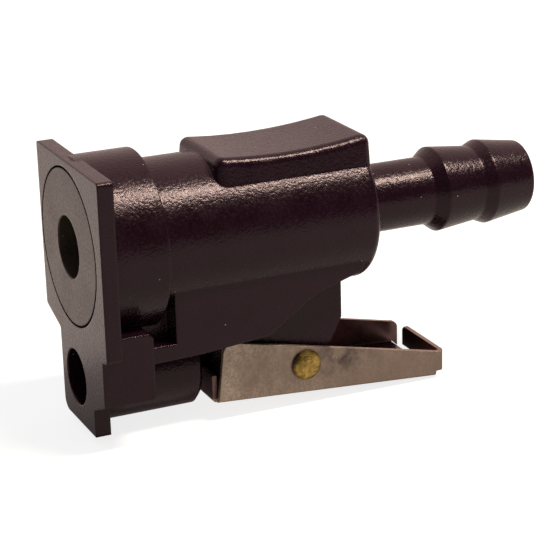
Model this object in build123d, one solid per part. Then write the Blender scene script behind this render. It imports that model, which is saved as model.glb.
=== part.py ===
from build123d import *
import math
import os

# Quick disconnect coupling for a fuel hose: a nylon body with a hose barb, a spring-loaded shut-off
# valve inside, and a folded stainless latch lever on a brass rivet.
# Millimetres. The origin is the centre of the fuel bore on the front face.
# +X runs along the barrel to the hose, +Z is up, and the latch lever is below.

# ---- front plate, outline seen along X (Y, Z) ----
PLATE_THICK = 2.0
PLATE_TOP = 11.1
PLATE_NEAR = -12.1            # plate edge on the -Y side
PLATE_FAR = 10.5              # plate edge on the +Y side
PLATE_WAIST_Z = -11.8         # where the wide upper plate steps in to the narrow lower one
LOWER_NEAR = -10.4            # side of the gusset, flush with the lower plate
LOWER_FAR = 5.4
SHOULDER_Z = -17.7            # where the lower plate slants in to the foot
SHOULDER_FOOT_Z = -19.5
FOOT_NEAR = -6.2
FOOT_Z = -23.1

# ---- barrel, all turned about X ----
COLLAR_R = 11.2
COLLAR_END = 9.1
BARREL_R = 9.62
BARREL_END = 38.5
BARREL_ROUND = 1.1
STEM_R = 4.5
BARB_R = 5.65
BARB_1_FOOT = 49.0            # foot of the first barb's steep face
BARB_2_FOOT = 56.3
BARB_RISE = 1.5               # length of a barb's steep face
BARB_1_VALLEY_R = 5.0         # radius where the first barb's taper meets the second barb
TAIL_END = 63.8
TAIL_END_R = 4.75
TAIL_ROUND = 0.4

# ---- thumb saddle on top of the barrel ----
SADDLE_FRONT = 17.0
SADDLE_HALF = 6.95            # half width where it leaves the barrel
SADDLE_ROOT_Z = 6.5
SADDLE_DRAFT = 7.0            # degrees
SADDLE_CORNER = 1.6
SADDLE_NOSE_Z = 10.35
SADDLE_LOW_X = 26.0
SADDLE_LOW_Z = 9.72
SADDLE_REAR_Z = 10.75
SADDLE_EDGE = 1.1             # rounding of the nose and of the rear top edge

# ---- guide-pin housing and the blocks under the barrel ----
PIN_Z = -17.17                # axis of the guide-pin bore
PIN_BORE_R = 3.65
HOUSING_R = 5.9
HOUSING_END = 14.8
GUSSET_TOP = -9.1
GUSSET_END = 6.65
BLOCK_HALF = 8.0
BLOCK_FRONT = 10.55
SHELF_TOP = -12.0
SHELF_UNDER = -14.3
CORE_HALF = 5.0

# ---- latch pivot and the lug that carries it ----
PIVOT_X = 28.6
PIVOT_Z = -18.5
LUG_HALF = 5.5
LUG_FRONT = 19.5
LUG_REAR = 34.4
LUG_GAP = 0.4                 # between the lug's underside and the lever's web
RIVET_R = 1.5
RIVET_PLAY = 0.05
RIVET_HEAD_R = 2.0
RIVET_HEAD_H = 0.75
RIVET_RIM_H = 0.3

# ---- latch lever, folded from sheet ----
SHEET = 0.8
LEVER_HALF = 6.8              # outside of the wings
LEVER_FRONT = 15.9            # front face of the hook
LEVER_REAR = 49.2             # outside of the end wall
WEB_FRONT_Z = -21.72          # underside of the web at the front
WEB_SLOPE = -0.0697
WING_TOP_Z = -13.83           # top edge of a wing at its front corner
WING_TOP_X = 18.6
WING_TOP_SLOPE = -0.21
WING_CORNER = 1.3
HOOK_TOP_Z = -18.1
HOOK_HALF = 5.9
HOOK_NOTCH_R = 2.6
BEND_R = 0.9                  # outside radius of a fold
END_BEND_R = 1.2
END_SLIT = 0.8                # between the end wall and the +Y wing
FAR_CORNER = 1.2

# ---- valve chamber, radii about X ----
INSERT_R = 9.98
COUNTERBORE_R = 10.0
COUNTERBORE_DEPTH = 4.0
FUEL_BORE_R = 3.96
CHAMBER_R = 7.0
INSERT_END = 8.0
SEAT_FACE = 11.2              # front of the valve seat ring
SEAT_LIP = 14.5
CHAMBER_END = 27.0
TAIL_BORE_R = 3.1
SEAL_R = 1.55                 # section radius of the fuel pin's seal
RING_CHAMFER = 0.15
VALVE_SPRING_R = 3.9
VALVE_WIRE_R = 0.4
VALVE_TURNS = 6

# ---- latch spring ----
COIL_R = 2.15
WIRE_R = 0.35
COIL_TURNS = 3
COIL_PITCH = 0.82
FRONT_LEG_ANGLE = 225         # where each leg leaves the coil, in degrees
REAR_LEG_ANGLE = 261
FRONT_LEG = 5.8
REAR_LEG = 8.8
SLOT_HALF = 2.4
SLOT_FRONT = 22.4
SLOT_ROOF = -15.5


def prism(points, low, high, plane=Plane.XZ):
    """A straight-sided block from an outline, between two stations across its plane."""
    face = make_face(plane * Polyline(*points, close=True))
    start = plane.z_dir * low
    return extrude(face.moved(Location(start)), amount=high - low, dir=plane.z_dir)


def across(points, half):
    """A block from an (X, Z) outline, from -half to +half along Y."""
    return prism(points, -half, half)


def ring_about_x(points):
    """A body turned about the X axis from (X, radius) points."""
    return revolve(make_face(Polyline(*points, close=True)), Axis.X)


def rod(radius, start, end, y=0.0, z=0.0):
    """A plain cylinder along X."""
    disc = Plane.YZ.offset(start) * Pos(y, z) * Circle(radius)
    return extrude(disc, amount=end - start)


def web_under(x):
    """Height of the underside of the lever's web."""
    return WEB_FRONT_Z + WEB_SLOPE * (x - LEVER_FRONT)


def web_top(x):
    """Height of the upper face of the lever's web."""
    return web_under(x) + SHEET


def wing_top(x):
    """Height of the top edge of the lever's wings."""
    return WING_TOP_Z + WING_TOP_SLOPE * (x - WING_TOP_X)


# ------------------------------------------------------------------ body

def plate():
    """Front flange: wide at the barrel, stepped in below, with a foot."""
    outline = [
        (PLATE_NEAR, PLATE_TOP),
        (PLATE_FAR, PLATE_TOP),
        (PLATE_FAR, PLATE_WAIST_Z + 1.3),
        (LOWER_FAR, PLATE_WAIST_Z - 0.4),
        (LOWER_FAR, FOOT_Z),
        (FOOT_NEAR, FOOT_Z),
        (FOOT_NEAR, SHOULDER_FOOT_Z),
        (LOWER_NEAR, SHOULDER_Z),
        (LOWER_NEAR, PLATE_WAIST_Z),
        (PLATE_NEAR, PLATE_WAIST_Z + 0.4),
    ]
    slab = prism(outline, 0, PLATE_THICK, Plane.YZ)
    upright = slab.edges().filter_by(Axis.X)
    foot_far = upright.sort_by_distance((0, LOWER_FAR, FOOT_Z))[0]
    slab = fillet(foot_far, 1.5)
    upright = slab.edges().filter_by(Axis.X)
    waist = [
        upright.sort_by_distance((PLATE_THICK / 2, y, z))[0]
        for y, z in (outline[2], outline[3], outline[0], outline[1], outline[8], outline[9])
    ]
    return fillet(waist, 0.5)


def turned_outside():
    """Collar, barrel, stem and the two hose barbs in one turned outline."""
    barb_1 = BARB_1_FOOT + BARB_RISE
    barb_2 = BARB_2_FOOT + BARB_RISE
    solid = ring_about_x([
        (PLATE_THICK / 2, 0),
        (PLATE_THICK / 2, COLLAR_R),
        (COLLAR_END, COLLAR_R),
        (COLLAR_END, BARREL_R),
        (BARREL_END, BARREL_R),
        (BARREL_END, STEM_R),
        (BARB_1_FOOT, STEM_R),
        (barb_1, BARB_R),
        (BARB_2_FOOT, BARB_1_VALLEY_R),
        (barb_2, BARB_R),
        (TAIL_END, TAIL_END_R),
        (TAIL_END, 0),
    ])
    rings = solid.edges().filter_by(GeomType.CIRCLE)
    rear = [e for e in rings if abs(e.center().X - BARREL_END) < 0.01 and e.radius > STEM_R + 1]
    solid = fillet(rear, BARREL_ROUND)
    rings = solid.edges().filter_by(GeomType.CIRCLE)
    soft = [e for e in rings if abs(e.center().X - TAIL_END) < 0.01]
    solid = fillet(soft, TAIL_ROUND)
    rings = solid.edges().filter_by(GeomType.CIRCLE)
    crests = [e for e in rings if abs(e.radius - BARB_R) < 0.01]
    return fillet(crests, 0.2)


def saddle():
    """Concave thumb rest: a drafted block with its top hollowed along X."""
    reach = BARREL_END - SADDLE_FRONT + 6
    middle = SADDLE_FRONT + reach / 2
    plan = Plane.XY.offset(SADDLE_ROOT_Z) * Pos(middle, 0) * RectangleRounded(
        reach, 2 * SADDLE_HALF, SADDLE_CORNER)
    block = extrude(plan, amount=7, taper=SADDLE_DRAFT)
    nose = (SADDLE_FRONT - 1, SADDLE_NOSE_Z + 0.15)
    rear = (BARREL_END, SADDLE_REAR_Z)
    top = ThreePointArc(nose, (SADDLE_LOW_X, SADDLE_LOW_Z), rear)
    sides = Polyline(rear, (BARREL_END, 0), (SADDLE_FRONT - 1, 0), nose)
    limit = extrude(make_face(Plane.XZ * (top + sides)), amount=12, both=True)
    block = block & limit
    tops = block.edges().filter_by_position(Axis.Z, SADDLE_NOSE_Z - 1, SADDLE_REAR_Z + 1)
    ends = [e for e in tops if abs(e.center().X - BARREL_END) < 0.01 and e.length > SADDLE_HALF]
    block = fillet(ends, SADDLE_EDGE)
    tops = block.edges().filter_by_position(Axis.Z, SADDLE_NOSE_Z - 0.5, SADDLE_NOSE_Z + 0.5)
    front = tops.sort_by(Axis.X)[:3]
    return fillet(front, SADDLE_EDGE)


def under_block():
    """Deep rib under the barrel; its lower edge sweeps up to the barrel towards the rear."""
    lower = FilletPolyline(
        (PLATE_THICK / 2, SHELF_UNDER),
        (14.0, SHELF_UNDER + 0.35),
        (23.2, -13.2),
        (29.5, -8.8),
        (36.5, -6.6),
        (37.0, -2.0),
        radius=[0.5, 3.0, 5.0, 1.0],
    )
    front = Polyline(
        (37.0, -2.0),
        (BLOCK_FRONT, -2.0),
        (BLOCK_FRONT, SHELF_TOP),
        (PLATE_THICK / 2, SHELF_TOP),
        (PLATE_THICK / 2, SHELF_UNDER),
    )
    side = make_face(Plane.XZ * (lower + front))
    return extrude(side, amount=BLOCK_HALF, both=True)


def core():
    """Central web that ties collar, shelf and pin housing together."""
    return across([
        (PLATE_THICK / 2, -8.0),
        (BLOCK_FRONT + 2, -8.0),
        (BLOCK_FRONT + 2, PIN_Z + 1),
        (PLATE_THICK / 2, PIN_Z + 1),
    ], CORE_HALF)


def gusset():
    """Thick flank on the -Y side, flush with the lower plate."""
    outline = [
        (0, GUSSET_TOP),
        (LOWER_NEAR, GUSSET_TOP),
        (LOWER_NEAR, SHOULDER_Z),
        (FOOT_NEAR, SHOULDER_FOOT_Z),
        (0, SHOULDER_FOOT_Z),
    ]
    block = prism(outline, PLATE_THICK / 2, GUSSET_END, Plane.YZ)
    top_rear = block.edges().filter_by(Axis.Y).sort_by_distance((GUSSET_END, -5, GUSSET_TOP))[0]
    return fillet(top_rear, 0.9)


def lug():
    """Lug between the lever's wings, slotted for the latch spring and bored for the rivet."""
    foot = 30.5
    ear = across([
        (LUG_FRONT, -4.0),
        (LUG_REAR, -4.0),
        (LUG_REAR, -13.35),
        (foot, web_top(foot) + LUG_GAP),
        (LUG_FRONT, web_top(LUG_FRONT) + LUG_GAP),
    ], LUG_HALF)
    slot = across([
        (SLOT_FRONT, SLOT_ROOF),
        (LUG_REAR + 2, SLOT_ROOF),
        (LUG_REAR + 2, FOOT_Z),
        (SLOT_FRONT, FOOT_Z),
    ], SLOT_HALF)
    hole = Pos(PIVOT_X, 0, PIVOT_Z) * Rot(90, 0, 0) * Cylinder(RIVET_R + RIVET_PLAY, 3 * LUG_HALF)
    return ear - slot - hole


def valve_chamber():
    """Counterbore, valve chamber and hose passage as one turned core."""
    return ring_about_x([
        (0, 0),
        (0, COUNTERBORE_R + RING_CHAMFER),
        (RING_CHAMFER, COUNTERBORE_R),
        (COUNTERBORE_DEPTH, COUNTERBORE_R),
        (COUNTERBORE_DEPTH, CHAMBER_R),
        (CHAMBER_END, CHAMBER_R),
        (CHAMBER_END, TAIL_BORE_R),
        (TAIL_END, TAIL_BORE_R),
        (TAIL_END, 0),
    ])


def body():
    """The whole moulding."""
    housing = rod(HOUSING_R, PLATE_THICK / 2, HOUSING_END, z=PIN_Z)
    rim = [e for e in housing.edges().filter_by(GeomType.CIRCLE) if e.center().X > HOUSING_END - 0.1]
    housing = chamfer(rim, 0.5)
    solid = plate() + turned_outside() + saddle() + under_block() + core() + gusset() + housing
    solid = solid + lug()
    solid = solid - valve_chamber()
    return solid - rod(PIN_BORE_R, 0, HOUSING_END + 1, z=PIN_Z)


# ------------------------------------------------------------------ valve

def face_insert():
    """Pressed-in disc with the fuel bore and the nose that holds the seal back."""
    return ring_about_x([
        (0, FUEL_BORE_R),
        (0, INSERT_R - RING_CHAMFER),
        (RING_CHAMFER, INSERT_R),
        (COUNTERBORE_DEPTH, INSERT_R),
        (COUNTERBORE_DEPTH, CHAMBER_R - 0.02),
        (INSERT_END, CHAMBER_R - 0.02),
        (INSERT_END, FUEL_BORE_R),
    ])


def fuel_pin_seal():
    """O-ring between the insert's nose and the valve seat."""
    centre = (INSERT_END + SEAT_FACE) / 2
    section = Pos(centre, CHAMBER_R - SEAL_R - 0.1) * Circle(SEAL_R)
    return revolve(section, Axis.X)


def valve_seat():
    """Ring with a raised lip that the valve closes on."""
    hole = FUEL_BORE_R + 0.34
    lip_in = 4.8
    lip_out = 5.5
    back = SEAT_LIP - 0.6
    return ring_about_x([
        (SEAT_FACE, hole),
        (SEAT_FACE, CHAMBER_R - 0.02),
        (back, CHAMBER_R - 0.02),
        (back, lip_out),
        (SEAT_LIP, lip_out),
        (SEAT_LIP, lip_in),
        (back, hole),
    ])


SEAL_THICK = 1.0
FLANGE_R = 5.9
FLANGE_FRONT = SEAT_LIP + SEAL_THICK
FLANGE_BACK = FLANGE_FRONT + 1.5
NECK_R = 2.0
NOSE_R = 3.2


def valve_plunger():
    """Shut-off poppet: nose, neck, flange and four guide legs."""
    core_solid = ring_about_x([
        (SEAT_LIP - 2.2, 0),
        (SEAT_LIP - 2.2, NOSE_R - 0.5),
        (SEAT_LIP - 1.7, NOSE_R),
        (SEAT_LIP, NOSE_R),
        (SEAT_LIP, NECK_R),
        (FLANGE_FRONT, NECK_R),
        (FLANGE_FRONT, FLANGE_R),
        (FLANGE_BACK, FLANGE_R),
        (FLANGE_BACK, VALVE_SPRING_R - 0.8),
        (FLANGE_BACK + 4, VALVE_SPRING_R - 1.2),
        (FLANGE_BACK + 4, 0),
    ])
    leg_out = CHAMBER_R - 0.08
    leg_in = VALVE_SPRING_R + 1.1
    leg = Pos((FLANGE_FRONT + FLANGE_BACK + 4) / 2, 0, (leg_in + leg_out) / 2) * Box(
        FLANGE_BACK + 4 - FLANGE_FRONT, 1.6, leg_out - leg_in)
    legs = [Rot(angle, 0, 0) * leg for angle in range(0, 360, 90)]
    round_limit = rod(leg_out, FLANGE_FRONT, FLANGE_BACK + 4)
    return core_solid + [piece & round_limit for piece in legs]


def plunger_seal():
    """Rubber washer snapped over the plunger's nose."""
    return ring_about_x([
        (SEAT_LIP, NECK_R),
        (SEAT_LIP, FLANGE_R - 0.1),
        (FLANGE_FRONT, FLANGE_R - 0.1),
        (FLANGE_FRONT, NECK_R),
    ])


def valve_spring():
    """Compression spring between the plunger's flange and the end of the chamber."""
    start = FLANGE_BACK + VALVE_WIRE_R
    length = CHAMBER_END - FLANGE_BACK - 2 * VALVE_WIRE_R
    line = Helix(length / VALVE_TURNS, length, VALVE_SPRING_R, (start, 0, 0), (1, 0, 0))
    section = Plane(line @ 0, z_dir=line % 0) * Circle(VALVE_WIRE_R)
    return sweep(section, line, is_frenet=True)


# ------------------------------------------------------------------ latch

def lever_blank():
    """Outer form of the folded channel, with its folds rounded."""
    foot_x = LEVER_FRONT + 0.4
    front_top = (LEVER_FRONT + 1.25, WING_TOP_Z + 0.1)
    blank = across([
        (foot_x, web_under(foot_x)),
        front_top,
        (WING_TOP_X, WING_TOP_Z),
        (LEVER_REAR, wing_top(LEVER_REAR)),
        (LEVER_REAR, web_under(LEVER_REAR)),
    ], LEVER_HALF)
    corner = blank.edges().filter_by(Axis.Y).sort_by_distance((front_top[0], 0, front_top[1]))[0]
    blank = fillet(corner, WING_CORNER)
    keel = [e for e in blank.edges() if e.length > 20 and e.center().Z < PIVOT_Z - 2]
    blank = fillet(keel, BEND_R)
    near_end = (LEVER_REAR, -LEVER_HALF, (wing_top(LEVER_REAR) + web_under(LEVER_REAR)) / 2)
    return fillet(blank.edges().sort_by_distance(near_end)[0], END_BEND_R)


def lever_hook():
    """Upturned front of the web, notched to sit in the guide pin's groove."""
    inner = LEVER_FRONT + SHEET
    overlap = inner + 2
    hook = across([
        (LEVER_FRONT, web_under(LEVER_FRONT)),
        (LEVER_FRONT, HOOK_TOP_Z),
        (inner, HOOK_TOP_Z),
        (inner, web_top(inner)),
        (overlap, web_top(overlap)),
        (overlap, web_under(overlap)),
    ], HOOK_HALF)
    fold = hook.edges().filter_by(Axis.Y).sort_by_distance((LEVER_FRONT, 0, WEB_FRONT_Z))[0]
    hook = fillet(fold, BEND_R)
    return hook - rod(HOOK_NOTCH_R, LEVER_FRONT - 1, overlap, z=PIN_Z)


def far_corner_waste():
    """What is cut off to round the rear top corner of the +Y wing."""
    centre_x = LEVER_REAR - FAR_CORNER
    centre_z = wing_top(centre_x) - FAR_CORNER * math.hypot(1, WING_TOP_SLOPE)
    middle_y = LEVER_HALF - SHEET / 2
    block = Pos(centre_x + FAR_CORNER, middle_y, centre_z + FAR_CORNER) * Box(
        2 * FAR_CORNER, 1.1 * SHEET, 2 * FAR_CORNER)
    tip = Pos(centre_x, middle_y, centre_z) * Rot(90, 0, 0) * Cylinder(FAR_CORNER, 2 * SHEET)
    return block - tip


def latch_lever():
    """Channel folded from sheet: two wings, a web, an upturned hook and a folded end wall."""
    wall_in = LEVER_REAR - SHEET
    wing_in = LEVER_HALF - SHEET
    inside = across([
        (LEVER_FRONT - 2, web_top(LEVER_FRONT - 2)),
        (LEVER_FRONT - 2, 0),
        (wall_in, 0),
        (wall_in, web_top(wall_in)),
    ], wing_in)
    lever = lever_blank() - inside
    # the end wall is folded from the near wing, so it is free of the web and of the far wing
    wall_cut = Pos(LEVER_REAR, wing_in - END_SLIT / 2, PIVOT_Z) * Box(2.5 * SHEET, END_SLIT, 11)
    lever = lever - (wall_cut - across([
        (wall_in - 2, web_top(wall_in - 2)),
        (LEVER_REAR + 2, web_top(LEVER_REAR + 2)),
        (LEVER_REAR + 2, FOOT_Z - 5),
        (wall_in - 2, FOOT_Z - 5),
    ], LEVER_HALF))
    lever = lever - far_corner_waste()
    hole = Pos(PIVOT_X, 0, PIVOT_Z) * Rot(90, 0, 0) * Cylinder(RIVET_R, 3 * LEVER_HALF)
    return lever + lever_hook() - hole


def latch_rivet():
    """Brass pivot, headed over both wings."""
    head = LEVER_HALF + RIVET_HEAD_H
    rim = LEVER_HALF + RIVET_RIM_H
    rise = head - rim
    dome_r = (RIVET_HEAD_R ** 2 + rise ** 2) / (2 * rise)
    dome = RadiusArc((RIVET_HEAD_R, rim), (0, head), -dome_r)
    flank = Polyline(
        (0, head),
        (0, 0),
        (RIVET_R, 0),
        (RIVET_R, LEVER_HALF),
        (RIVET_HEAD_R, LEVER_HALF),
        (RIVET_HEAD_R, rim),
    )
    half = revolve(make_face(flank + dome), Axis.Y)
    return Pos(PIVOT_X, 0, PIVOT_Z) * (half + half.rotate(Axis.X, 180))


def latch_spring():
    """Torsion spring round the rivet: a low leg on the lever's web, a short leg up in the slot."""
    turns = COIL_TURNS + (REAR_LEG_ANGLE - FRONT_LEG_ANGLE) / 360
    width = turns * COIL_PITCH
    coil = Helix(COIL_PITCH, width, COIL_R)
    front_leg = Line((coil @ 0) - (coil % 0) * FRONT_LEG, coil @ 0)
    rear_leg = Line(coil @ 1, (coil @ 1) + (coil % 1) * REAR_LEG)
    route = Wire([front_leg, coil, rear_leg])
    wire = sweep(Plane(front_leg @ 0, z_dir=front_leg % 0) * Circle(WIRE_R), route)
    return Pos(PIVOT_X, 0, PIVOT_Z) * Rot(90, 0, 0) * Pos(0, 0, -width / 2) * Rot(
        0, 0, FRONT_LEG_ANGLE) * wire


PARTS = {
    "body": body,
    "face_insert": face_insert,
    "fuel_pin_seal": fuel_pin_seal,
    "valve_seat": valve_seat,
    "valve_plunger": valve_plunger,
    "plunger_seal": plunger_seal,
    "valve_spring": valve_spring,
    "latch_lever": latch_lever,
    "latch_rivet": latch_rivet,
    "latch_spring": latch_spring,
}

os.makedirs("parts", exist_ok=True)
for name, make in PARTS.items():
    shape = make()
    export_step(shape, os.path.join("parts", name + ".step"))
    box = shape.bounding_box()
    print(name, len(shape.solids()), round(shape.volume, 1), box.min, box.max)
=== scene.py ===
import math

import bmesh
import bpy
from mathutils import Matrix, Vector


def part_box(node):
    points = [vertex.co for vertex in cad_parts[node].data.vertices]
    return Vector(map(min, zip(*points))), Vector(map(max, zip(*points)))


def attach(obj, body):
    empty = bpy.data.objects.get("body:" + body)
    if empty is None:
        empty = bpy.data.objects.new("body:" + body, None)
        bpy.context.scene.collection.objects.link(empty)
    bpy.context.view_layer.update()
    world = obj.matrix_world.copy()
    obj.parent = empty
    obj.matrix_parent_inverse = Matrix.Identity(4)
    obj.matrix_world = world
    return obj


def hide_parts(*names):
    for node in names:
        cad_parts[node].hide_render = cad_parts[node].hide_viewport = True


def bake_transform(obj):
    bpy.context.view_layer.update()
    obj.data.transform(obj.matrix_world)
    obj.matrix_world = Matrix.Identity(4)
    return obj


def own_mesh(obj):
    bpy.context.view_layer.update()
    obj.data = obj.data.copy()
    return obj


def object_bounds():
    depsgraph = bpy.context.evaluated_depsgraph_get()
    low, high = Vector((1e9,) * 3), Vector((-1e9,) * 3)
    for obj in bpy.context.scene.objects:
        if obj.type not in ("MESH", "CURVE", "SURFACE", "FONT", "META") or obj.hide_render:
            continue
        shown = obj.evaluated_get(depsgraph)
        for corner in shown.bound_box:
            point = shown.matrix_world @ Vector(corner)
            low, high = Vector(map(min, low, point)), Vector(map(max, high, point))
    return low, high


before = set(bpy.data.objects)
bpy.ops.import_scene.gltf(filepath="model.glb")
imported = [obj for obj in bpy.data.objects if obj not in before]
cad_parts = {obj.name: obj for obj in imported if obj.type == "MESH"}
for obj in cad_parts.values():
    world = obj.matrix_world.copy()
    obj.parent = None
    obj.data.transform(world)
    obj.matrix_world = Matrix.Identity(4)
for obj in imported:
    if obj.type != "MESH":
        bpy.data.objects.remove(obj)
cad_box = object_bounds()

# Looks for the quick disconnect coupling. Metres, in the frame of the part: +X along the barrel to
# the hose, +Z up, origin at the middle of the fuel bore on the front face.

MM = 0.001
LOW, HIGH = cad_box
CENTRE = (LOW + HIGH) / 2

# ---- camera ----
VIEW_AZIMUTH = -24.12         # degrees, from the near side (-Y) towards +X
VIEW_ELEVATION = 19.21
VIEW_ROLL = -1.57
CAMERA_LENS = 126.0
CAMERA_SENSOR = 36.0
CAMERA_DISTANCE = 240.57 * MM
CAMERA_ACROSS = 25.954        # millimetres from the origin, to the right as the camera sees it
CAMERA_DOWN = 4.052           # millimetres from the origin, downwards as the camera sees it
CLIP_NEAR = 0.01
CLIP_FAR = 10.0

# ---- light ----
KEY_FROM = (0.38, -0.31, 0.87)        # direction from the part to the lamp
KEY_DISTANCE = 450 * MM
KEY_LENGTH = 240 * MM
KEY_WIDTH = 52 * MM
KEY_POWER = 2.0
KEY_COLOUR = (1.0, 0.92, 0.74)
WORLD_FILL = 0.3
FRONT_LEVEL = 0.07            # how bright the room in front of the part is in reflections
WORLD_DIM_TO = -0.25          # directions along Y between which the room goes from dim to white
WORLD_WHITE_FROM = 0.35
WARM_WHITE = (0.80, 0.60, 0.55)
PURE_WHITE = (1.0, 1.0, 1.0)

# ---- floor ----
FLOOR_Z = LOW.z - 0.25 * MM   # the part stands just clear of it
FLOOR_SIZE = 3.0
FLOOR_TONE = (0.5, 0.5, 0.5)
FLOOR_ROUGHNESS = 0.9
FLOOR_LIFT = 0.8
FLOOR_DIM_TO = -20 * MM       # places along Y between which the floor does the same
FLOOR_WHITE_FROM = 60 * MM

# ---- folded lever ----
SHEET = 0.6 * MM
REAR_INSET = 0.3 * MM         # the sheet ends this much before the solid lever does
WING_INSET = 0.5 * MM         # from the hook's front face back to the wings
WEB_SETBACK = 1.2 * MM        # from the web's end back to the rear wall
WEB_SLOPE = 0.0697
TOP_SLOPE = 0.2235
TOP_SLOPE_FROM = 2.7 * MM     # from the hook's front face back to where the wings start to fall
SHOULDER_RADIUS = 1.3 * MM    # of the wings' rounded front corner
SHOULDER_BACK = 2.6 * MM      # from the hook's front face back to that corner's centre
RELIEF = 0.8 * MM             # from the web's end up to the foot of the rear wall
FAR_END_INSET = 0.25 * MM     # the far wing ends this much before the rear wall
FAR_CORNER = 0.9 * MM         # radius of its upper rear corner
FREE_GAP = 2.75 * MM          # from the rear wall's free edge to the far wing
FREE_TOP_GAP = 3.25 * MM      # the same at the top, where its corner is cut off
FREE_CHAMFER = 0.5 * MM       # height of that cut
TONGUE_HALF = 5.9 * MM        # half the hook's width
HOOK_TOP_Z = -18.1 * MM
PIN_AXIS_Z = -17.17 * MM
NOTCH_RADIUS = 2.6 * MM       # of the hook's notch for the guide pin
NOTCH_END = 21                # degrees below level at which that notch ends
HOOK_FOLD = 0.4 * MM
WALL_FOLD = 0.75 * MM
FOLD_STEPS = 5
SAME_POINT = 0.01 * MM        # corners of two walls this close are one
BESIDE = 0.1 * MM             # play in telling the hook's folds from the wings'

# ---- colours ----
NYLON_DARK = (0.0085, 0.0020, 0.0054)
NYLON_LIGHT = (0.0160, 0.0042, 0.0104)
NYLON_TINT = (1.0, 0.76, 0.82)
INSERT_DARK = (0.034, 0.024, 0.018)
INSERT_LIGHT = (0.052, 0.038, 0.028)
SEAM_COLOUR = (0.002, 0.001, 0.001)
DUST = (0.5, 0.45, 0.42)
RUBBER_DARK = (0.006, 0.006, 0.006)
RUBBER_LIGHT = (0.014, 0.013, 0.013)
SEAT_DARK = (0.55, 0.54, 0.5)
SEAT_LIGHT = (0.68, 0.67, 0.63)
PLUNGER_DARK = (0.03, 0.022, 0.022)
PLUNGER_LIGHT = (0.05, 0.035, 0.036)
WIRE_DARK = (0.4, 0.38, 0.36)
WIRE_LIGHT = (0.6, 0.57, 0.54)
STEEL_DARK = (0.30, 0.215, 0.18)
STEEL_LIGHT = (0.66, 0.52, 0.43)
# the lever's inside: the same steel in darker tones, painted shade for its channel
SHADED_INNER_DARK = (0.13, 0.072, 0.075)
SHADED_INNER_LIGHT = (0.24, 0.15, 0.145)
SMUDGE = (0.07, 0.045, 0.055)
BRASS_DARK = (0.22, 0.12, 0.02)
BRASS_LIGHT = (0.74, 0.50, 0.15)
STAIN = (0.03, 0.014, 0.012)

# ---- skins ----
NYLON_SPECULAR = 0.4
NYLON_EDGE = 0.4 * MM         # radius of the moulded edges
NYLON_MOTTLE = 260            # this and the other textures: patches per metre
NYLON_GRAIN = 2600
NYLON_WAVES = 420
WAVE_DEPTH = 0.03 * MM
WAVE_STRENGTH = 0.3
BODY_ROUGHNESS = (0.2, 0.26)
BODY_GRAIN_DEPTH = 0.055 * MM
BODY_SEAM = 10.03 * MM        # radius of the seam round the insert, on the body's side
INSERT_ROUGHNESS = (0.3, 0.38)
INSERT_GRAIN_DEPTH = 0.012 * MM
INSERT_SEAM = 9.93 * MM       # radius of the same seam on the insert's side
SEAM_FADE = (0.07 * MM, 0.16 * MM)    # half widths of the seam's black core and its soft edge
SEAM_DEPTH_FADE = (0.2 * MM, 0.3 * MM)    # the seam is drawn only this near the front face
DUST_CELL = 1.7 * MM          # at most one speck of dust in a cell of this size
DUST_RADIUS = 0.085 * MM
DUST_SHARE = 0.5
FINE_MOTTLE = 900
FINE_PORES = 3000
PORE_DEPTH = 0.01 * MM
PORE_STRENGTH = 0.4
RUBBER_ROUGHNESS = 0.6
ACETAL_ROUGHNESS = 0.35
WIRE_ROUGHNESS = 0.3
UNEVEN = 0.15                 # share by which these roughnesses vary
STEEL_METAL = 0.85
STEEL_ROUGHNESS = (0.5, 0.4)
STEEL_EDGE = 0.12 * MM        # radius of the sheet's cut edges
STEEL_CLOUDS = 150
STEEL_SCUFFS = 700
SCUFF_SHARE = 0.35
STEEL_GRAIN = 3600
STEEL_GRAIN_DEPTH = 0.012 * MM
DARKEN_FROM = 4.0 * MM          # the outside gets darker over this stretch, measured from the hook
DARKEN_TO = 18.0 * MM
SMUDGE_BACK = 5.0 * MM        # the smudge's middle, behind and above the rivet's
SMUDGE_UP = 0.3 * MM
SMUDGE_FADE = (0.5 * MM, 3.6 * MM)    # this and the other fades: from which radius to which
SMUDGE_PATCHES = 520
SMUDGE_SHARE = 0.75
INNER_METAL = 0.9
INNER_ROUGHNESS = (0.24, 0.34)
INNER_MOTTLE = 240
INNER_PORE_DEPTH = 0.006 * MM
RUBBED_X = 36.0 * MM          # middle of the rubbed patch on the far wing
RUBBED_Z = -18.5 * MM
RUBBED_FADE = (1.6 * MM, 3.2 * MM)
RUBBED_PATCHES = 900
BRASS_METAL = 0.9
BRASS_ROUGHNESS = (0.42, 0.28)
BRASS_MOTTLE = 1500
BRASS_WEAR_DEPTH = 0.06 * MM
STAIN_FRONT = 1.7 * MM        # the stain's middle, before and above the rivet's
STAIN_UP = 1.3 * MM
STAIN_FADE = (0.8 * MM, 1.9 * MM)
STAIN_PATCHES = 1100
STAIN_SHARE = 0.9
RIM_FADE = (1.55 * MM, 1.95 * MM)     # the rivet's head darkens towards its rim
SPOT_FADE = (0.15 * MM, 0.5 * MM)     # and has a bright spot in its middle
TURNING_PITCH = 0.35 * MM
TURNING_DEPTH = 0.01 * MM


# ------------------------------------------------------------------ material helpers

def put(tree, value, socket):
    """Gives a socket the output of another, a colour or a plain value."""
    if isinstance(value, bpy.types.NodeSocket):
        tree.links.new(value, socket)
    elif hasattr(value, "__len__"):
        socket.default_value = (*value, 1.0)
    else:
        socket.default_value = value


def mix_colours(tree, share, first, second):
    """A colour between first and second, at share 0 and 1."""
    node = tree.nodes.new("ShaderNodeMix")
    node.data_type = "RGBA"
    colours = [socket for socket in node.inputs if socket.type == "RGBA"]
    put(tree, share, node.inputs["Factor"])
    put(tree, first, colours[0])
    put(tree, second, colours[1])
    return [socket for socket in node.outputs if socket.type == "RGBA"][0]


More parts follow.
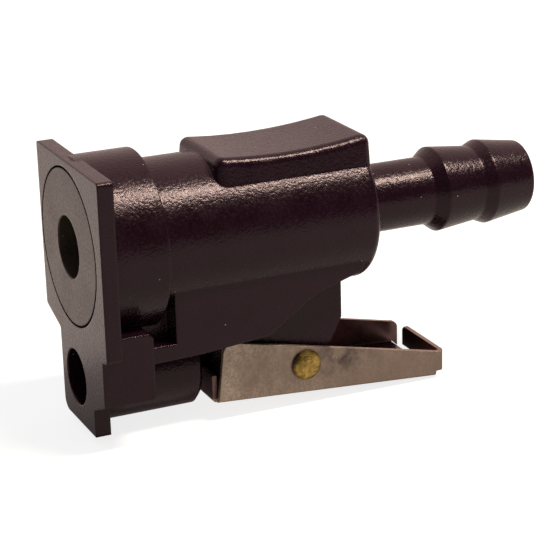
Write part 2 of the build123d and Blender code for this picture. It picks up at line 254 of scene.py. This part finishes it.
class Nodes:
    """Short names for building one node material."""

    def __init__(self, name):
        self.material = bpy.data.materials.new(name)
        self.material.use_nodes = True
        self.tree = self.material.node_tree
        self.shader = self.tree.nodes["Principled BSDF"]
        self.place = self.tree.nodes.new("ShaderNodeTexCoord").outputs["Object"]

    def link(self, source, target):
        self.tree.links.new(source, target)

    def put(self, value, name):
        put(self.tree, value, self.shader.inputs[name])

    def mix(self, share, first, second):
        return mix_colours(self.tree, share, first, second)

    def noise(self, scale, detail, rough=0.6, stretch=None, warp=0.0):
        node = self.tree.nodes.new("ShaderNodeTexNoise")
        node.inputs["Scale"].default_value = scale
        node.inputs["Detail"].default_value = detail
        node.inputs["Roughness"].default_value = rough
        node.inputs["Distortion"].default_value = warp
        place = self.place
        if stretch:
            mapping = self.tree.nodes.new("ShaderNodeMapping")
            mapping.inputs["Scale"].default_value = stretch
            self.link(self.place, mapping.inputs["Vector"])
            place = mapping.outputs["Vector"]
        self.link(place, node.inputs["Vector"])
        return node.outputs["Fac"]

    def ramp(self, source, first, second):
        """A colour that runs between two stops, each a position and a colour."""
        node = self.tree.nodes.new("ShaderNodeValToRGB")
        for element, (position, colour) in zip(node.color_ramp.elements, (first, second)):
            element.position = position
            element.color = (*colour, 1.0)
        self.link(source, node.inputs["Fac"])
        return node.outputs["Color"]

    def span(self, source, low, high, from_low=0.0, from_high=1.0):
        """A value that goes from low to high while the source goes from from_low to from_high."""
        node = self.tree.nodes.new("ShaderNodeMapRange")
        node.inputs["From Min"].default_value = from_low
        node.inputs["From Max"].default_value = from_high
        node.inputs["To Min"].default_value = low
        node.inputs["To Max"].default_value = high
        self.link(source, node.inputs["Value"])
        return node.outputs["Result"]

    def maths(self, operation, first, second=0.0):
        node = self.tree.nodes.new("ShaderNodeMath")
        node.operation = operation
        put(self.tree, first, node.inputs[0])
        put(self.tree, second, node.inputs[1])
        return node.outputs[0]

    def rounded_edges(self, radius):
        """A normal that turns smoothly over sharp edges, as on a moulded or pressed piece."""
        node = self.tree.nodes.new("ShaderNodeBevel")
        node.samples = 8
        node.inputs["Radius"].default_value = radius
        return node.outputs["Normal"]

    def bump(self, height, distance, strength=1.0, before=None):
        """Raises the surface by a height, on top of the normal that was there before."""
        node = self.tree.nodes.new("ShaderNodeBump")
        node.inputs["Distance"].default_value = distance
        node.inputs["Strength"].default_value = strength
        self.link(height, node.inputs["Height"])
        if before is not None:
            self.link(before, node.inputs["Normal"])
        self.link(node.outputs["Normal"], self.shader.inputs["Normal"])
        return node.outputs["Normal"]

    def from_point(self, centre, spread):
        """Distance from a point of the object, in metres, squeezed along each axis by spread."""
        shift = self.tree.nodes.new("ShaderNodeVectorMath")
        shift.operation = "SUBTRACT"
        self.link(self.place, shift.inputs[0])
        shift.inputs[1].default_value = centre
        squeeze = self.tree.nodes.new("ShaderNodeVectorMath")
        squeeze.operation = "MULTIPLY"
        self.link(shift.outputs["Vector"], squeeze.inputs[0])
        squeeze.inputs[1].default_value = spread
        size = self.tree.nodes.new("ShaderNodeVectorMath")
        size.operation = "LENGTH"
        self.link(squeeze.outputs["Vector"], size.inputs[0])
        return size.outputs["Value"]

    def specks(self, cell, radius, share):
        """Sparse round specks: one in some cells of a cell pattern. cell and radius are in metres."""
        node = self.tree.nodes.new("ShaderNodeTexVoronoi")
        node.inputs["Scale"].default_value = 1.0 / cell
        self.link(self.place, node.inputs["Vector"])
        dot = self.span(node.outputs["Distance"], 1.0, 0.0, 0.5 * radius / cell, radius / cell)
        chosen = self.tree.nodes.new("ShaderNodeSeparateColor")
        self.link(node.outputs["Color"], chosen.inputs["Color"])
        pick = self.maths("LESS_THAN", chosen.outputs["Red"], share)
        return self.maths("MULTIPLY", dot, pick)

    def seam_ring(self, radius):
        """1 on a thin ring of the front face, about the fuel bore, and 0 elsewhere."""
        from_axis = self.from_point((0.0, 0.0, 0.0), (0.0, 1.0, 1.0))
        away = self.maths("ABSOLUTE", self.maths("SUBTRACT", from_axis, radius))
        behind_face = self.from_point((0.0, 0.0, 0.0), (1.0, 0.0, 0.0))
        return self.maths("MULTIPLY", self.span(away, 1.0, 0.0, *SEAM_FADE),
                          self.span(behind_face, 1.0, 0.0, *SEAM_DEPTH_FADE))


# ------------------------------------------------------------------ materials

def nylon(name, dark, light, roughness, grain_depth, seam):
    """Black-brown moulded nylon with a sandy skin, dust specks and a dark seam ring round the insert."""
    m = Nodes(name)
    cloud = m.noise(NYLON_MOTTLE, 5)
    grain = m.noise(NYLON_GRAIN, 2.5)
    ring = m.seam_ring(seam)
    base = m.ramp(cloud, (0.3, dark), (0.72, light))
    base = m.mix(m.span(grain, 0.0, 0.6, 0.48, 0.62), base, light)
    base = m.mix(m.specks(DUST_CELL, DUST_RADIUS, DUST_SHARE), base, DUST)
    m.put(m.mix(ring, base, SEAM_COLOUR), "Base Color")
    m.put(m.span(ring, NYLON_SPECULAR, 0.0), "Specular IOR Level")
    m.put(NYLON_TINT, "Specular Tint")
    rough = m.span(cloud, *roughness, 0.3, 0.7)
    m.put(m.maths("MULTIPLY", rough, m.span(grain, 0.85, 1.25, 0.4, 0.6)), "Roughness")
    skin = m.bump(grain, grain_depth, before=m.rounded_edges(NYLON_EDGE))
    m.bump(m.noise(NYLON_WAVES, 2, 0.5), WAVE_DEPTH, WAVE_STRENGTH, before=skin)
    return m.material


def simple(name, dark, light, rough, metal=0.0):
    """A plain material with soft mottling and fine pores."""
    m = Nodes(name)
    cloud = m.noise(FINE_MOTTLE, 5)
    m.put(m.ramp(cloud, (0.3, dark), (0.7, light)), "Base Color")
    m.put(m.span(cloud, rough * (1 - UNEVEN), rough * (1 + UNEVEN)), "Roughness")
    m.put(metal, "Metallic")
    m.bump(m.noise(FINE_PORES, 3, 0.5), PORE_DEPTH, PORE_STRENGTH)
    return m.material


def lever_steel():
    """Dull stainless sheet: matt grain, upright scuffs, dark smudges behind the rivet."""
    m = Nodes("lever_steel")
    cloud = m.noise(STEEL_CLOUDS, 5, warp=0.4)
    scuff = m.noise(STEEL_SCUFFS, 4, stretch=(1.0, 1.0, 0.5))
    grain = m.noise(STEEL_GRAIN, 3)
    base = m.ramp(cloud, (0.3, STEEL_DARK), (0.68, STEEL_LIGHT))
    base = m.mix(SCUFF_SHARE, base, m.ramp(scuff, (0.35, STEEL_DARK), (0.65, STEEL_LIGHT)))
    base = m.mix(m.span(grain, 0.0, 0.7, 0.42, 0.62), base, STEEL_DARK)
    along = m.from_point((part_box("latch_lever")[0].x, 0.0, 0.0), (1.0, 0.0, 0.0))
    # the sheet's colour goes darker towards its rear
    base = m.mix(m.span(along, 0.0, 0.6, DARKEN_FROM, DARKEN_TO), base, STEEL_DARK)
    low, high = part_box("latch_rivet")
    rivet = (low + high) / 2
    middle = (rivet.x + SMUDGE_BACK, low.y, rivet.z + SMUDGE_UP)
    near = m.span(m.from_point(middle, (0.6, 0.3, 1.0)), 1.0, 0.0, *SMUDGE_FADE)
    patchy = m.span(m.noise(SMUDGE_PATCHES, 4), 0.0, 1.0, 0.42, 0.6)
    smudge = m.maths("MULTIPLY", m.maths("MULTIPLY", near, patchy), SMUDGE_SHARE)
    m.put(m.mix(smudge, base, SMUDGE), "Base Color")
    m.put(STEEL_METAL, "Metallic")
    m.put(m.span(cloud, *STEEL_ROUGHNESS), "Roughness")
    m.bump(grain, STEEL_GRAIN_DEPTH, before=m.rounded_edges(STEEL_EDGE))
    return m.material


def shaded_inner_steel():
    """The smoother inside of the folded lever, its steel darkened as painted shade, with a rubbed patch
    beside the lug.
    """
    m = Nodes("shaded_inner_steel")
    cloud = m.noise(INNER_MOTTLE, 4)
    base = m.ramp(cloud, (0.3, SHADED_INNER_DARK), (0.7, SHADED_INNER_LIGHT))
    far_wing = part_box("latch_lever")[1].y
    near = m.span(m.from_point((RUBBED_X, far_wing, RUBBED_Z), (1.0, 0.6, 0.5)), 1.0, 0.0, *RUBBED_FADE)
    rubbed = m.maths("MULTIPLY", near, m.span(m.noise(RUBBED_PATCHES, 3), 0.3, 0.8, 0.4, 0.6))
    m.put(m.mix(rubbed, base, STEEL_DARK), "Base Color")
    m.put(INNER_METAL, "Metallic")
    m.put(m.span(cloud, *INNER_ROUGHNESS), "Roughness")
    m.bump(m.noise(FINE_PORES, 3, 0.5), INNER_PORE_DEPTH)
    return m.material


def rivet_brass():
    """Brass with a turned centre, fine wear and a dark stain on its upper front side."""
    m = Nodes("rivet_brass")
    low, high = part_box("latch_rivet")
    middle = (low + high) / 2
    disc = (1.0, 0.0, 1.0)
    cloud = m.noise(BRASS_MOTTLE, 4)
    base = m.ramp(cloud, (0.3, BRASS_DARK), (0.68, BRASS_LIGHT))
    away = m.from_point((middle.x - STAIN_FRONT, middle.y, middle.z + STAIN_UP), disc)
    stain = m.maths("MULTIPLY", m.span(away, 1.0, 0.0, *STAIN_FADE),
                    m.span(m.noise(STAIN_PATCHES, 3), 0.2, 1.0, 0.35, 0.6))
    base = m.mix(m.maths("MULTIPLY", stain, STAIN_SHARE), base, STAIN)
    from_middle = m.from_point(middle, disc)
    base = m.mix(m.span(from_middle, 0.5, 0.0, *SPOT_FADE), base, BRASS_LIGHT)
    m.put(m.mix(m.span(from_middle, 0.0, 0.7, *RIM_FADE), base, STAIN), "Base Color")
    m.put(BRASS_METAL, "Metallic")
    m.put(m.span(cloud, *BRASS_ROUGHNESS), "Roughness")
    rings = m.maths("SINE", m.maths("MULTIPLY", from_middle, 2 * math.pi / TURNING_PITCH))
    turned = m.bump(rings, TURNING_DEPTH)
    m.bump(cloud, BRASS_WEAR_DEPTH, before=turned)
    return m.material


# ------------------------------------------------------------------ the folded lever

def arc(centre, radius, start, end, steps=6):
    """Points along an arc, angles in degrees."""
    turn = [math.radians(start + (end - start) * i / steps) for i in range(steps + 1)]
    return [(centre[0] + radius * math.cos(a), centre[1] + radius * math.sin(a)) for a in turn]


def lever_walls(mesh):
    """Draws the lever's outer faces flat: two wings, the web, the rear wall with a free edge and the
    hook with its notch. Returns where the hook's face stands in x and where the wings start."""
    low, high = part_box("latch_lever")
    front = low.x
    rear = high.x - REAR_INSET
    half = high.y
    wing_front = front + WING_INSET
    web_end = rear - WEB_SETBACK
    far_end = rear - FAR_END_INSET
    crest = high.z - TOP_SLOPE * (web_end - front - TOP_SLOPE_FROM)

    def under(x):
        return low.z - WEB_SLOPE * (x - rear)

    def wall(points, place):
        return mesh.faces.new([mesh.verts.new(place(*point)) for point in points])

    def wing(y, rear_end):
        foot = [(wing_front, under(wing_front)), (web_end, under(web_end))]
        shoulder = arc((front + SHOULDER_BACK, high.z - SHOULDER_RADIUS), SHOULDER_RADIUS, 80, 170)
        wall(foot + rear_end + [(web_end, crest)] + shoulder, lambda x, z: (x, y, z))

    foot = under(web_end) + RELIEF
    wing(-half, [(web_end, foot), (rear, foot), (rear, crest)])
    wing(half, [(far_end, under(rear))] + arc((far_end - FAR_CORNER, crest - FAR_CORNER), FAR_CORNER, 0, 90))
    wall([(front, -TONGUE_HALF), (wing_front, -TONGUE_HALF), (wing_front, -half), (web_end, -half),
          (web_end, half), (wing_front, half), (wing_front, TONGUE_HALF), (front, TONGUE_HALF)],
         lambda x, y: (x, y, under(x)))
    free = half - FREE_GAP
    wall([(-half, foot), (free, foot), (free, crest - FREE_CHAMFER), (half - FREE_TOP_GAP, crest),
          (-half, crest)], lambda y, z: (rear, y, z))
    notch = arc((0.0, PIN_AXIS_Z), NOTCH_RADIUS, -NOTCH_END, NOTCH_END - 180, 12)
    hook = wall([(-TONGUE_HALF, under(front)), (TONGUE_HALF, under(front)), (TONGUE_HALF, HOOK_TOP_Z)]
                + notch + [(-TONGUE_HALF, HOOK_TOP_Z)], lambda y, z: (front, y, z))
    hook.material_index = 1   # painted shade: the hook's front face takes the darker inside steel, as it lies in shade
    return front, wing_front


def fold(mesh, radius, test):
    """Rounds the edges that two walls share and whose ends pass the test."""
    edges = [edge for edge in mesh.edges
             if len(edge.link_faces) == 2 and all(test(vert.co) for vert in edge.verts)]
    bmesh.ops.bevel(mesh, geom=edges, offset=radius, segments=FOLD_STEPS, profile=0.5, affect="EDGES")


def folded_lever():
    """The latch lever as one sheet: its walls joined, their shared edges folded round, then its thickness
    added inwards. Its outside is bright steel and its inside darker steel, as painted shade."""
    mesh = bmesh.new()
    hook_x, wing_x = lever_walls(mesh)
    bmesh.ops.remove_doubles(mesh, verts=mesh.verts, dist=SAME_POINT)
    bmesh.ops.recalc_face_normals(mesh, faces=mesh.faces)
    fold(mesh, HOOK_FOLD, lambda place: place.x < hook_x + BESIDE)
    fold(mesh, WALL_FOLD, lambda place: place.x > wing_x - BESIDE)
    data = bpy.data.meshes.new("lever_sheet")
    mesh.to_mesh(data)
    mesh.free()
    item = bpy.data.objects.new("lever_sheet", data)
    bpy.context.scene.collection.objects.link(item)
    data.materials.append(lever_steel())
    # second slot: the darker inside steel, painted shade for the channel and the hook's front
    data.materials.append(shaded_inner_steel())
    sheet = item.modifiers.new("sheet", "SOLIDIFY")
    sheet.thickness = SHEET
    sheet.offset = -1.0
    sheet.use_even_offset = True
    sheet.material_offset = 1
    sheet.material_offset_rim = 0
    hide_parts("latch_lever")
    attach(item, "latch")


# ------------------------------------------------------------------ springs

def spring(node, name):
    """A copy of a spring's mesh with a wire material, in place of the rigid one."""
    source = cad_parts[node]
    item = bpy.data.objects.new(name, source.data.copy())
    bpy.context.scene.collection.objects.link(item)
    item.matrix_world = source.matrix_world.copy()
    item.data.materials.clear()
    item.data.materials.append(simple(name, WIRE_DARK, WIRE_LIGHT, WIRE_ROUGHNESS, 1.0))
    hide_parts(node)
    return item


def springs():
    """Copies of the two springs: the valve spring's copy hangs on the body with a mesh of its own, and the
    latch spring's copy has its place baked into its mesh.
    """
    coil = spring("valve_spring", "valve_coil")
    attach(coil, "body")
    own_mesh(coil)
    twist = spring("latch_spring", "latch_coil")
    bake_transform(twist)


# ------------------------------------------------------------------ dress the nodes

def dress():
    """Gives every node its material."""
    looks = {
        "body": nylon("nylon_body", NYLON_DARK, NYLON_LIGHT, BODY_ROUGHNESS, BODY_GRAIN_DEPTH,
                      BODY_SEAM),
        "face_insert": nylon("nylon_insert", INSERT_DARK, INSERT_LIGHT, INSERT_ROUGHNESS,
                             INSERT_GRAIN_DEPTH, INSERT_SEAM),
        "fuel_pin_seal": simple("seal_rubber", RUBBER_DARK, RUBBER_LIGHT, RUBBER_ROUGHNESS),
        "plunger_seal": simple("washer_rubber", RUBBER_DARK, RUBBER_LIGHT, RUBBER_ROUGHNESS),
        "valve_seat": simple("seat_acetal", SEAT_DARK, SEAT_LIGHT, ACETAL_ROUGHNESS),
        "valve_plunger": simple("plunger_acetal", PLUNGER_DARK, PLUNGER_LIGHT, ACETAL_ROUGHNESS),
        "latch_rivet": rivet_brass(),
    }
    for name, material in looks.items():
        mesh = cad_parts[name].data
        mesh.materials.clear()
        mesh.materials.append(material)


# ------------------------------------------------------------------ studio

def level_by_ray(tree, sideways, near, far, plain):
    """Light level for each kind of ray: 1 for the camera and see-through rays. Mirror rays find it
    dim where sideways is under near, and white where it is over far. Other rays get plain."""
    path = tree.nodes.new("ShaderNodeLightPath")
    back = tree.nodes.new("ShaderNodeMapRange")
    back.interpolation_type = "SMOOTHSTEP"
    back.inputs["From Min"].default_value = near
    back.inputs["From Max"].default_value = far
    back.inputs["To Min"].default_value = FRONT_LEVEL
    tree.links.new(sideways, back.inputs["Value"])
    level = plain
    for ray, value in (("Is Glossy Ray", back.outputs["Result"]),
                       ("Is Transmission Ray", 1.0), ("Is Camera Ray", 1.0)):
        choose = tree.nodes.new("ShaderNodeMix")
        tree.links.new(path.outputs[ray], choose.inputs["Factor"])
        put(tree, level, choose.inputs["A"])
        put(tree, value, choose.inputs["B"])
        level = choose.outputs["Result"]
    return level, path


def warm_in_mirrors(tree, path, target):
    """White to the camera, warm white in reflections."""
    tint = mix_colours(tree, path.outputs["Is Glossy Ray"], PURE_WHITE, WARM_WHITE)
    tree.links.new(tint, target)


def along_y(tree, source):
    """The Y part of a vector."""
    parts = tree.nodes.new("ShaderNodeSeparateXYZ")
    tree.links.new(source, parts.inputs[0])
    return parts.outputs["Y"]


def floor_white():
    """A pale floor that keeps the shadow; what looks at it directly sees it lifted to white."""
    m = Nodes("floor_white")
    m.put(FLOOR_TONE, "Base Color")
    m.put(FLOOR_ROUGHNESS, "Roughness")
    m.put(0.0, "Specular IOR Level")
    place = m.tree.nodes.new("ShaderNodeNewGeometry").outputs["Position"]
    level, path = level_by_ray(m.tree, along_y(m.tree, place), FLOOR_DIM_TO, FLOOR_WHITE_FROM, 0.0)
    warm_in_mirrors(m.tree, path, m.shader.inputs["Emission Color"])
    m.put(m.maths("MULTIPLY", level, FLOOR_LIFT), "Emission Strength")
    return m.material


def studio():
    """Pale floor and a white world that lights the part softly."""
    bpy.ops.mesh.primitive_plane_add(size=FLOOR_SIZE, location=(CENTRE.x, CENTRE.y, FLOOR_Z))
    floor = bpy.context.object
    floor.name = "floor"
    floor.data.materials.append(floor_white())
    world = bpy.data.worlds.new("studio")
    bpy.context.scene.world = world
    world.use_nodes = True
    tree = world.node_tree
    background = tree.nodes["Background"]
    way = tree.nodes.new("ShaderNodeTexCoord").outputs["Generated"]
    level, path = level_by_ray(tree, along_y(tree, way), WORLD_DIM_TO, WORLD_WHITE_FROM, WORLD_FILL)
    warm_in_mirrors(tree, path, background.inputs["Color"])
    tree.links.new(level, background.inputs["Strength"])


def key_lamp():
    """A long soft lamp that faces the middle of the object and lies along the barrel."""
    data = bpy.data.lights.new("key", "AREA")
    data.shape = "RECTANGLE"
    data.size = KEY_LENGTH
    data.size_y = KEY_WIDTH
    data.energy = KEY_POWER
    data.color = KEY_COLOUR
    item = bpy.data.objects.new("key", data)
    bpy.context.scene.collection.objects.link(item)
    away = Vector(KEY_FROM).normalized()
    side = away.cross(Vector((1.0, 0.0, 0.0))).normalized()
    turn = Matrix((side.cross(away), side, away)).transposed().to_4x4()
    item.matrix_world = Matrix.Translation(CENTRE + away * KEY_DISTANCE) @ turn


def camera():
    """The camera at the reference viewing angle."""
    data = bpy.data.cameras.new("view")
    data.lens = CAMERA_LENS
    data.sensor_width = CAMERA_SENSOR
    data.clip_start = CLIP_NEAR
    data.clip_end = CLIP_FAR
    item = bpy.data.objects.new("view", data)
    bpy.context.scene.collection.objects.link(item)
    bpy.context.scene.camera = item
    azimuth = math.radians(VIEW_AZIMUTH)
    elevation = math.radians(VIEW_ELEVATION)
    roll = math.radians(VIEW_ROLL)
    back = Vector((math.sin(azimuth) * math.cos(elevation),
                   -math.cos(azimuth) * math.cos(elevation),
                   math.sin(elevation)))
    level_right = (-back).cross(Vector((0, 0, 1))).normalized()
    level_up = level_right.cross(-back)
    right = level_right * math.cos(roll) + level_up * math.sin(roll)
    up = level_up * math.cos(roll) - level_right * math.sin(roll)
    place = right * CAMERA_ACROSS * MM - up * CAMERA_DOWN * MM + back * CAMERA_DISTANCE
    turn = Matrix((right, up, back)).transposed().to_4x4()
    item.matrix_world = Matrix.Translation(place) @ turn


dress()
folded_lever()
springs()
studio()
key_lamp()
camera()
bpy.context.scene.view_settings.view_transform = "Standard"
